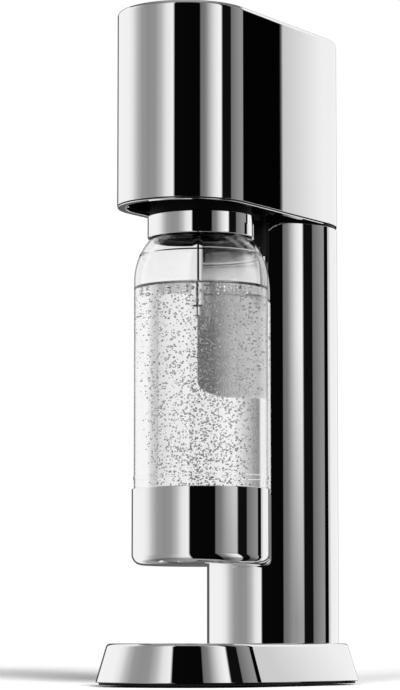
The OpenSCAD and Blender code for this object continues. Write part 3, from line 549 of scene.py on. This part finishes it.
def setKeyLights():
    for compassDeg, height, strength, soft in studio["keys"]:
        data = bpy.data.lights.new("key light", "SUN")
        data.energy = strength
        data.angle = math.radians(soft)
        key = bpy.data.objects.new("key light", data)
        bpy.context.scene.collection.objects.link(key)
        key.rotation_euler = (math.radians(90 - height), 0, math.radians(compassDeg))
        key.visible_glossy = key.visible_transmission = key.visible_camera = False


def setStudio():
    setRoom()
    setCards()
    setFloor()
    setKeyLights()
    # light crosses the bottle's walls and the water many times
    light = bpy.context.scene.cycles
    light.max_bounces = light.transmission_bounces = studio["bounces"]
    light.glossy_bounces = studio["bounces"] // 2


setStudio()
bpy.context.scene.view_settings.view_transform = "Standard"
print("camera and studio set")


# Base: flared skirt of polished sheet

base = {"topRadius": 51.3, "edgeRound": 3.0, "sheet": 1.2, "rimRound": 0.4, "steps": 192}


def makeBase():
    low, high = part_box("base_shell")
    lowRadius = high.x / mm
    z0, z1 = low.z / mm, high.z / mm
    edge = base["edgeRound"]
    centre = (base["topRadius"] - edge, z1 - edge)
    across, up = lowRadius - centre[0], centre[1] - z0
    # the straight side meets the round edge without a break
    lean = math.degrees(math.atan2(across, up) - math.asin(edge / math.hypot(across, up)))
    side = [(lowRadius, z0)] + arc(centre, edge, lean, 90, 16)
    skirt = turnedPiece("base_skirt", side, frontY, base["steps"])
    stretchRear(skirt)
    fillLoop(skirt, high.z)
    applyModifier(skirt, "SOLIDIFY", thickness=base["sheet"] * mm, offset=-1, use_even_offset=True)
    roundEdges(skirt, base["rimRound"])
    smoothPiece(skirt)
    finishPiece(skirt, polishedSteel, "frame", "polished_steel", "base_shell")


# Column and rear cover: one tube of polished sheet, split on two upright seams

column = {"sheet": 1.2, "rimRound": 0.25, "coverHalf": 55.0, "steps": 160, "coverSteps": 80}


def tubeOutline(node):
    low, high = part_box(node)
    outer = headRadius / mm
    inner = outer - column["sheet"]
    z0, z1 = low.z / mm, high.z / mm
    r = column["rimRound"]
    return ([(inner, z0)] + arc((outer - r, z0 + r), r, -90, 0, 4)
            + arc((outer - r, z1 - r), r, 0, 90, 4) + [(inner, z1), (inner, z0)])


def makeColumn():
    half = column["coverHalf"]
    front = turnedPiece("column_tube", tubeOutline("column_shell"), columnY, column["steps"],
                        startDeg=90 + half, sweepDeg=360 - 2 * half)
    smoothPiece(front)
    finishPiece(front, polishedSteel, "frame", "polished_steel", "column_shell")
    inset = half - math.degrees(math.asin(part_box("rear_cover")[1].x / headRadius))
    cover = turnedPiece("rear_cover_panel", tubeOutline("rear_cover"), columnY, column["coverSteps"],
                        startDeg=90 - half + inset, sweepDeg=2 * (half - inset))
    smoothPiece(cover)
    finishPiece(cover, polishedSteel, "cover", "polished_steel", "rear_cover")


# Head: deep drawn oblong shell, open below, with a hole for the button

head = {"sheet": 1.2, "edgeRound": 3.0, "rimRound": 0.2, "buttonGap": 0.3, "lip": 5.3, "lipRound": 0.8,
        # the shade band: a black ring under the shell's edge, painted shade
        "lipWall": 1.0, "lipIn": 0.3, "shadeBand": (0.5, 1.4), "shadeBandIn": 0.5, "columnGap": 0.2,
        # how deep the cutters reach; the wedge's two radii and its start under the shell
        "holeCut": 20.0, "columnCut": 50.0, "wedge": (20, 60, 5),
        "steps": 192, "holeSteps": 128, "columnSteps": 160, "wedgeSteps": 40}


def makeHead():
    outer = headRadius / mm
    z0, z1 = headLow.z / mm, headHigh.z / mm
    edge = head["edgeRound"]
    sheet = head["sheet"]
    shadeBandLow, shadeBandHigh = z0 + head["shadeBand"][0], z0 + head["shadeBand"][1]
    outside = arc((outer - edge, z1 - edge), edge, 90, 0, 12) + [(outer, shadeBandHigh)]
    inside = [(outer - sheet, shadeBandHigh)] + arc((outer - edge, z1 - edge), edge - sheet, 0, 90, 8)
    shell = turnedPiece("head_casing", outside + inside, frontY, head["steps"])
    stretchRear(shell)
    fillLoop(shell, headHigh.z)
    fillLoop(shell, headHigh.z - sheet * mm)
    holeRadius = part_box("button_cap")[1].x + head["buttonGap"] * mm
    cutAway(shell, roundCutter(holeRadius, head["holeCut"], (0, bottleY, headHigh.z), head["holeSteps"]))
    near, far, under = head["wedge"]
    wedgeLow, wedgeHigh = z0 - under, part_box("rear_cover")[1].z / mm + head["buttonGap"]
    half = column["coverHalf"]
    outline = [(near, wedgeLow), (far, wedgeLow), (far, wedgeHigh), (near, wedgeHigh), (near, wedgeLow)]
    cutAway(shell, turnedPiece("cover_opening", outline, columnY, head["wedgeSteps"], startDeg=90 - half,
                               sweepDeg=2 * half))
    roundEdges(shell, head["rimRound"])
    smoothPiece(shell)
    finishPiece(shell, polishedSteel, "frame", "polished_steel", "head_shell")

    # a black ring under the shell's edge, painted shade for the shadowed gap above the lip, and a polished
    # lip that closes the wall from below
    low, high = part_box("head_trim")
    top, inner = high.z / mm, outer - head["lip"]
    wall = inner + head["lipWall"]
    shadeBandOut, lipOut = outer - head["shadeBandIn"], outer - head["lipIn"]
    soft, r = head["shadeBand"][0], head["lipRound"]
    # painted shade: a black ring stands where the gap between the shell and the lip lies in shadow
    outline = [(wall, shadeBandLow), (shadeBandOut, shadeBandLow), (shadeBandOut, shadeBandHigh), (wall, shadeBandHigh),
               (wall, shadeBandLow)]
    shadeBand = turnedPiece("head_shade_band", outline, frontY, head["steps"])
    outline = (arc((inner + r, z0 + r), r, 180, 270, 6) + arc((lipOut - soft, z0 + soft), soft, -90, 0, 5)
               + [(wall, shadeBandLow), (wall, top), (inner, top), (inner, z0 + r)])
    trim = turnedPiece("head_rim", outline, frontY, head["steps"])
    for piece in (shadeBand, trim):
        stretchRear(piece)
        cutAway(piece, roundCutter(headRadius + head["columnGap"] * mm, head["columnCut"],
                                   (0, columnY, low.z), head["columnSteps"]))
        smoothPiece(piece)
    finishPiece(shadeBand, blackAbs, "frame", "black_plastic")
    finishPiece(trim, polishedSteel, "frame", "polished_steel", "head_trim")


# Button: turned cap with a shallow dish

button = {"edgeRound": 1.2, "dishRadius": 21.0, "dishDepth": 0.6, "dishSteps": 12, "steps": 128}


def makeButton():
    low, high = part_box("button_cap")
    outer, z0, z1 = high.x / mm, low.z / mm, high.z / mm
    r, steps = button["edgeRound"], button["dishSteps"]
    dish = [(button["dishRadius"] * math.cos(a), z1 - button["dishDepth"] * math.sin(a) ** 2)
            for a in [math.pi / 2 * i / steps for i in range(steps + 1)]]
    outline = [(0, z0), (outer, z0)] + arc((outer - r, z1 - r), r, 0, 90, 8) + dish
    cap = turnedPiece("gas_button", outline, bottleY, button["steps"])
    smoothPiece(cap)
    finishPiece(cap, polishedSteel, "button", "polished_steel", "button_cap")


# Bottle: blown clear body with a moulded bead, a fill line and a polished cup

bottle = {"wall": 2.0, "footRound": 6.0, "shoulderZ": 265.0, "shoulderRadius": 41.5, "neckRadius": 26.0,
          "lipRound": 0.7, "beadWidth": 2.2, "beadHeight": 2.0, "beadDrop": 6.0, "beadEdge": 0.4,
          "beltZ": 135.4, "belt": (1.6, 0.3), "beltEdge": 0.5, "fillLineDeg": 24.2,
          "fillLine": (0.7, 0.22), "steps": 128, "smoothDeg": 40}


def bottleOutline():
    outer, z0, z1 = bottleRadius / mm, bottleLow.z / mm, bottleHigh.z / mm
    wall, foot = bottle["wall"], bottle["footRound"]
    shoulder, radius, neck = bottle["shoulderZ"], bottle["shoulderRadius"], bottle["neckRadius"]
    axisIn = outer - radius
    turn = math.degrees(math.acos((neck - axisIn) / radius))
    innerTurn = math.degrees(math.acos((neck - wall - axisIn) / (radius - wall)))
    tall, proud = bottle["belt"]
    beltLow, beltHigh = bottle["beltZ"] - tall / 2, bottle["beltZ"] + tall / 2
    belt = [(outer, beltLow - bottle["beltEdge"]), (outer + proud, beltLow), (outer + proud, beltHigh),
            (outer, beltHigh + bottle["beltEdge"])]
    line, lineProud = bottle["fillLine"]
    half = math.degrees(line / 2 / radius)
    at = bottle["fillLineDeg"]
    mark = [(axisIn + (radius + p) * math.cos(math.radians(at + d)),
             shoulder + (radius + p) * math.sin(math.radians(at + d)))
            for d, p in ((-2 * half, 0), (-half, lineProud), (half, lineProud), (2 * half, 0))]
    beadLow, beadTall = z1 - bottle["beadDrop"], bottle["beadHeight"]
    beadOut, beadEdge = neck + bottle["beadWidth"], bottle["beadEdge"]
    bead = [(neck, beadLow), (beadOut, beadLow + beadEdge), (beadOut, beadLow + beadTall - beadEdge),
            (neck, beadLow + beadTall)]
    lip = bottle["lipRound"]
    outside = ([(0, z0)] + arc((outer - foot, z0 + foot), foot, -90, 0, 8) + belt
               + arc((axisIn, shoulder), radius, 0, at - 3 * half, 14) + mark
               + arc((axisIn, shoulder), radius, at + 3 * half, turn, 20) + bead
               + arc((neck - lip, z1 - lip), lip, 0, 90, 4))
    inside = (arc((neck - wall + lip, z1 - lip), lip, 90, 180, 4)
              + arc((axisIn, shoulder), radius - wall, innerTurn, 0, 32)
              + arc((outer - foot, z0 + foot), foot - wall, 0, -90, 8) + [(0, z0 + wall)])
    return outside + inside


water = {
    "level": 259.2, "overlap": 0.05, "steps": 96, "smoothDeg": 60,
    # the water climbs a little at the wall
    "rise": 1.6, "riseWidth": 2.6, "riseSteps": 8,
    # height and length of the ripples, the surface's grid and the depth that it takes in; how near the
    # wall the ripples start and where they are full
    "ripple": (0.5, 13.0), "rippleStep": 1.0, "rippleDepth": 1.0, "rippleEdge": (0.5, 4),
    "seed": 11, "bubbles": 4200, "bubbleMm": (0.34, 0.74), "floating": 40, "floatingMm": (0.7, 1.5),
    "ballParts": (6, 4),
    # small bubbles and low ones are the most; the cloud is narrower at the bottom
    "smaller": 2, "lower": 1.25, "cloud": 0.62,
    "lowest": 92.0, "topDepth": 3, "floatDepth": 0.2,
    "wallClear": 1.5, "tubeClear": 5.0, "nozzleClear": 2,
}


def bubblePlaces(outer):
    # most bubbles rise through the water, and a few larger ones float under its surface
    draw = random.Random(water["seed"])
    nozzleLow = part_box("nozzle")[0].z / mm
    level, top = water["level"], water["topDepth"]
    places = []
    while len(places) < water["bubbles"] + water["floating"]:
        floating = len(places) >= water["bubbles"]
        small, large = water["floatingMm" if floating else "bubbleMm"]
        size = small + (large - small) * draw.random() ** water["smaller"]
        risen = draw.random() ** water["lower"]
        cloud = 1.0 if floating else water["cloud"] + (1 - water["cloud"]) * risen ** 2
        reach = cloud * (outer - water["wallClear"] - size) * math.sqrt(draw.random())
        angle = draw.random() * math.tau
        if floating:
            depth = size + water["floatDepth"]
        else:
            depth = top + (level - top - water["lowest"]) * (1 - risen)
        place = Vector((reach * math.cos(angle), bottleY / mm + reach * math.sin(angle), level - depth))
        byTube = math.hypot(place.x, place.y - tubeY / mm) < water["tubeClear"]
        if byTube and place.z > nozzleLow - water["nozzleClear"]:
            continue
        places.append((place, size))
    return places


def makeBubbles(outer):
    bpy.ops.object.select_all(action="DESELECT")
    around, upward = water["ballParts"]
    bpy.ops.mesh.primitive_uv_sphere_add(segments=around, ring_count=upward, radius=1)
    ball = bpy.context.object
    shape = [vertex.co.copy() for vertex in ball.data.vertices]
    # a bubble is a hollow in the water, so its faces look inwards
    facing = [tuple(reversed(face.vertices)) for face in ball.data.polygons]
    bpy.data.objects.remove(ball)
    points, faces = [], []
    for centre, size in bubblePlaces(outer):
        start = len(points)
        points += [(centre + corner * size) * mm for corner in shape]
        faces += [tuple(start + i for i in face) for face in facing]
    mesh = bpy.data.meshes.new("bubbles")
    mesh.from_pydata(points, [], faces)
    bubbles = bpy.data.objects.new("bubbles", mesh)
    bpy.context.scene.collection.objects.link(bubbles)
    return bubbles


def makeWater():
    wall, foot = bottle["wall"], bottle["footRound"]
    outer = bottleRadius / mm - wall + water["overlap"]
    z0 = bottleLow.z / mm + wall - water["overlap"]
    corner = foot - wall + water["overlap"]
    level, rise, width, steps = water["level"], water["rise"], water["riseWidth"], water["riseSteps"]
    edge = [(outer - width * i / steps, level + rise * (1 - i / steps) ** 2) for i in range(steps + 1)]
    count = round((outer - width) / water["rippleStep"])
    surface = [((outer - width) * (1 - i / count), level) for i in range(1, count + 1)]
    outline = [(0, z0)] + arc((outer - corner, z0 + corner), corner, -90, 0, 8) + edge + surface
    body = turnedPiece("sparkling_water", outline, bottleY, water["steps"])
    # the rising gas ripples the surface, and the ripples die away at the wall
    tall, long = water["ripple"]
    start, grown = water["rippleEdge"]
    for vertex in body.data.vertices:
        inward = outer - math.hypot(vertex.co.x, vertex.co.y - bottleY) / mm
        if vertex.co.z > (level - water["rippleDepth"]) * mm and inward > start:
            wave = noise.noise(Vector((vertex.co.x, vertex.co.y, 0)) * perMetre(long))
            vertex.co.z += tall * mm * wave * min(1, inward / grown)
    bubbles = makeBubbles(outer)
    pick(body)
    bubbles.select_set(True)
    bpy.ops.object.join()
    smoothPiece(body, water["smoothDeg"])
    finishPiece(body, waterLook, "bottle", "clear_plastic")


cup = {"wall": 1.2, "footRound": 7.0, "rimRound": 0.5, "steps": 160}


def makeBottle():
    body = turnedPiece("bottle_blown", bottleOutline(), bottleY, bottle["steps"])
    smoothPiece(body, bottle["smoothDeg"])
    finishPiece(body, clearPlastic, "bottle", "clear_plastic", "bottle_body")
    makeWater()
    low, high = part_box("bottle_cup")
    outer, z0, z1 = high.x / mm, low.z / mm, high.z / mm
    wall, foot, rim = cup["wall"], cup["footRound"], cup["rimRound"]
    turn = (outer - foot, z0 + foot)
    outline = ([(0, z0)] + arc(turn, foot, -90, 0, 14) + arc((outer - rim, z1 - rim), rim, 0, 90, 6)
               + [(outer - wall, z1)] + arc(turn, foot - wall, 0, -90, 10) + [(0, z0 + wall)])
    sleeve = turnedPiece("bottle_sleeve", outline, bottleY, cup["steps"])
    smoothPiece(sleeve)
    finishPiece(sleeve, polishedSteel, "bottle", "polished_steel", "bottle_cup")


# Carrier: polished ring, black hub with its arm, seal, tube, nozzle and the curved back rest

carrier = {"ringRound": 0.5, "ringWall": 1.4, "sealLip": 0.8, "sealStep": (7, 6), "sealGap": 0.2,
           "sealCut": 1, "tubeSlope": 1.2, "tip": (1.8, 0.5, 1.2), "tipBore": 1.5, "hubEdge": 0.5,
           "ringSteps": 160, "tubeSteps": 48, "sealSteps": 96, "clipSteps": 6,
           "restWall": 1.4, "restEdge": 0.4, "restCorner": 11.0, "restCornerParts": 10, "restStrips": 28,
           # a clip's wall round the rest, and its reach in degrees past the rest's edge and along it
           "clip": (0.8, 0.9, 5.0), "clipLow": 284.6, "clipEdge": 0.3}


def makeRing():
    low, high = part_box("neck_ring")
    outer, z0, z1 = high.x / mm, low.z / mm, high.z / mm
    inner = outer - carrier["ringWall"]
    r = carrier["ringRound"]
    outline = (arc((outer - r, z0 + r), r, -90, 0, 6) + arc((outer - r, z1 - r), r, 0, 90, 6)
               + [(inner, z1), (inner, z0), (outer - r, z0)])
    ring = turnedPiece("carrier_ring", outline, bottleY, carrier["ringSteps"])
    smoothPiece(ring)
    finishPiece(ring, polishedSteel, "carrier", "polished_steel", "neck_ring")


def makeTube():
    r, z0, z1 = tubeHigh.x / mm, tubeLow.z / mm, tubeHigh.z / mm
    slope = carrier["tubeSlope"]
    outline = [(0, z0), (r - slope, z0), (r, z0 + slope), (r, z1), (0, z1)]
    tube = turnedPiece("gas_tube", outline, tubeY, carrier["tubeSteps"])
    smoothPiece(tube)
    finishPiece(tube, polishedSteel, "carrier", "polished_steel", "carbonation_tube")
    low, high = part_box("nozzle")
    z0, z1 = low.z / mm, high.z / mm
    wide, bore, r = carrier["tip"]
    boreHigh = z0 + carrier["tipBore"]
    outline = ([(0, z1), (wide, z1)] + arc((wide - r, z0 + r), r, 0, -90, 8)
               + [(bore, z0), (bore, boreHigh), (0, boreHigh)])
    jet = turnedPiece("gas_nozzle", outline, tubeY, carrier["tubeSteps"])
    smoothPiece(jet)
    finishPiece(jet, polishedSteel, "carrier", "polished_steel", "nozzle")


def makeSeal():
    low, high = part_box("mouth_seal")
    r, z0, z1 = high.x / mm, low.z / mm, high.z / mm
    lip, over = carrier["sealLip"], carrier["sealCut"]
    stepIn, stepOut = carrier["sealStep"]
    outline = [(0, z0 + lip), (r - stepIn, z0 + lip), (r - stepOut, z0), (r - lip, z0), (r, z0 + lip),
               (r, z1), (0, z1)]
    seal = turnedPiece("bottle_seal", outline, bottleY, carrier["sealSteps"])
    hole = tubeHigh.x / mm + carrier["sealGap"]
    outline = [(0, z0 - over), (hole, z0 - over), (hole, z1 + over), (0, z1 + over)]
    cutAway(seal, turnedPiece("seal_hole", outline, tubeY, carrier["tubeSteps"]))
    smoothPiece(seal)
    finishPiece(seal, softRubber, "carrier", "rubber", "mouth_seal")


def makeRest():
    low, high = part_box("back_rest")
    thick = carrier["restWall"] * mm
    outerR = high.y - bottleY
    innerR = outerR - thick
    half = innerR * math.asin(high.x / innerR)
    tall = high.z - low.z
    bpy.ops.object.select_all(action="DESELECT")
    bpy.ops.mesh.primitive_plane_add(size=1, location=(0, 0, 0))
    rest = bpy.context.object
    rest.name = "bottle_rest"
    rest.scale = (2 * half, tall, 1)
    bpy.ops.object.transform_apply(scale=True)
    selectVerts(rest, lambda co: co.y < 0)
    bpy.ops.mesh.bevel(offset=carrier["restCorner"] * mm, segments=carrier["restCornerParts"],
                       affect="VERTICES")
    for i in range(1, carrier["restStrips"]):
        bpy.ops.mesh.select_all(action="SELECT")
        across = -half + 2 * half * i / carrier["restStrips"]
        bpy.ops.mesh.bisect(plane_co=(across, 0, 0), plane_no=(1, 0, 0))
    bpy.ops.object.mode_set(mode="OBJECT")
    # the sheet is bent round the bottle and stood up
    for vertex in rest.data.vertices:
        angle = vertex.co.x / innerR
        vertex.co = (innerR * math.sin(angle), bottleY + innerR * math.cos(angle),
                     vertex.co.y + (low.z + high.z) / 2)
    selectVerts(rest, lambda co: True)
    faceOutwards()
    middle = rest.data.polygons[len(rest.data.polygons) // 2]
    outward = 1 if middle.normal.y > 0 else -1
    applyModifier(rest, "SOLIDIFY", thickness=thick, offset=outward)
    roundEdges(rest, carrier["restEdge"])
    selectVerts(rest, lambda co: True)
    faceOutwards()
    smoothPiece(rest)
    finishPiece(rest, satin, "carrier", "satin_steel", "back_rest")


def makeRestClips():
    # black clips hold the rest's upper edges
    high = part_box("back_rest")[1]
    around, past, width = carrier["clip"]
    outerR = (high.y - bottleY) / mm + around
    innerR = (high.y - bottleY) / mm - carrier["restWall"] - around
    edgeDeg = math.degrees(math.acos(high.x / mm / (innerR + around)))
    z0, z1 = carrier["clipLow"], high.z / mm
    outline = [(innerR, z0), (outerR, z0), (outerR, z1), (innerR, z1), (innerR, z0)]
    for name, start in (("rest_clip_right", edgeDeg - past), ("rest_clip_left", 180 - edgeDeg - width)):
        clip = turnedPiece(name, outline, bottleY, carrier["clipSteps"], startDeg=start,
                           sweepDeg=width + past)
        roundEdges(clip, carrier["clipEdge"], segments=2)
        smoothPiece(clip)
        finishPiece(clip, blackAbs, "carrier", "black_plastic")


softEdge = {"segments": 2, "sharpDeg": 40, "flatDeg": 0.5}


def softenedNode(node, name, edgeMm):
    # a copy of the solid with its edges broken, as a moulding has them
    piece = bpy.data.objects.new(name, frame["nodes"][node].data.copy())
    bpy.context.scene.collection.objects.link(piece)
    pick(piece)
    bpy.ops.mesh.customdata_custom_splitnormals_clear()
    bpy.ops.object.mode_set(mode="EDIT")
    bpy.ops.mesh.select_all(action="SELECT")
    bpy.ops.mesh.remove_doubles(threshold=weldGap)
    bpy.ops.mesh.dissolve_limited(angle_limit=math.radians(softEdge["flatDeg"]))
    bpy.ops.object.mode_set(mode="OBJECT")
    roundEdges(piece, edgeMm, softEdge["segments"], softEdge["sharpDeg"])
    smoothPiece(piece, softEdge["sharpDeg"])
    return piece


def makeHub():
    hub = softenedNode("carrier_hub", "carrier_arm", carrier["hubEdge"])
    finishPiece(hub, blackAbs, "carrier", "black_plastic", "carrier_hub")


# Works behind the cover and under the base: copies with broken edges, and the spring's piece gets a mesh
# of its own

works = {"rubber_feet": ("table_feet", 0.5), "lock_lever": ("valve_lock", 0.6),
         "valve_connector": ("gas_block", 0.5), "cylinder_seat": ("gas_seat", 0.4),
         "cover_hooks": ("cover_catches", 0.3), "actuator_lever": ("gas_rocker", 0.3),
         "button_spring": ("return_spring", 0.05)}


def makeWorks():
    bodies = frame["record"]["behaviour"]["bodies"]
    bodyOf = {node: body for body, nodes in bodies.items() for node in nodes}
    slotOf = {row["node"]: row["material_slot"] for row in frame["record"]["subparts"]}
    # each node's piece and how far its edges are broken
    for node, (name, edgeMm) in works.items():
        piece = softenedNode(node, name, edgeMm)
        finishPiece(piece, finishes[slotOf[node]], bodyOf[node], slotOf[node], node)
        if node == "button_spring":
            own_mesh(piece)


makeBase()
print("base made")
makeColumn()
print("column and cover made")
makeHead()
print("head made")
makeButton()
print("button made")
makeBottle()
print("bottle, water and sleeve made")
makeRing()
makeTube()
makeSeal()
makeRest()
makeRestClips()
makeHub()
print("carrier made")
makeWorks()
print("works made:", len(works))
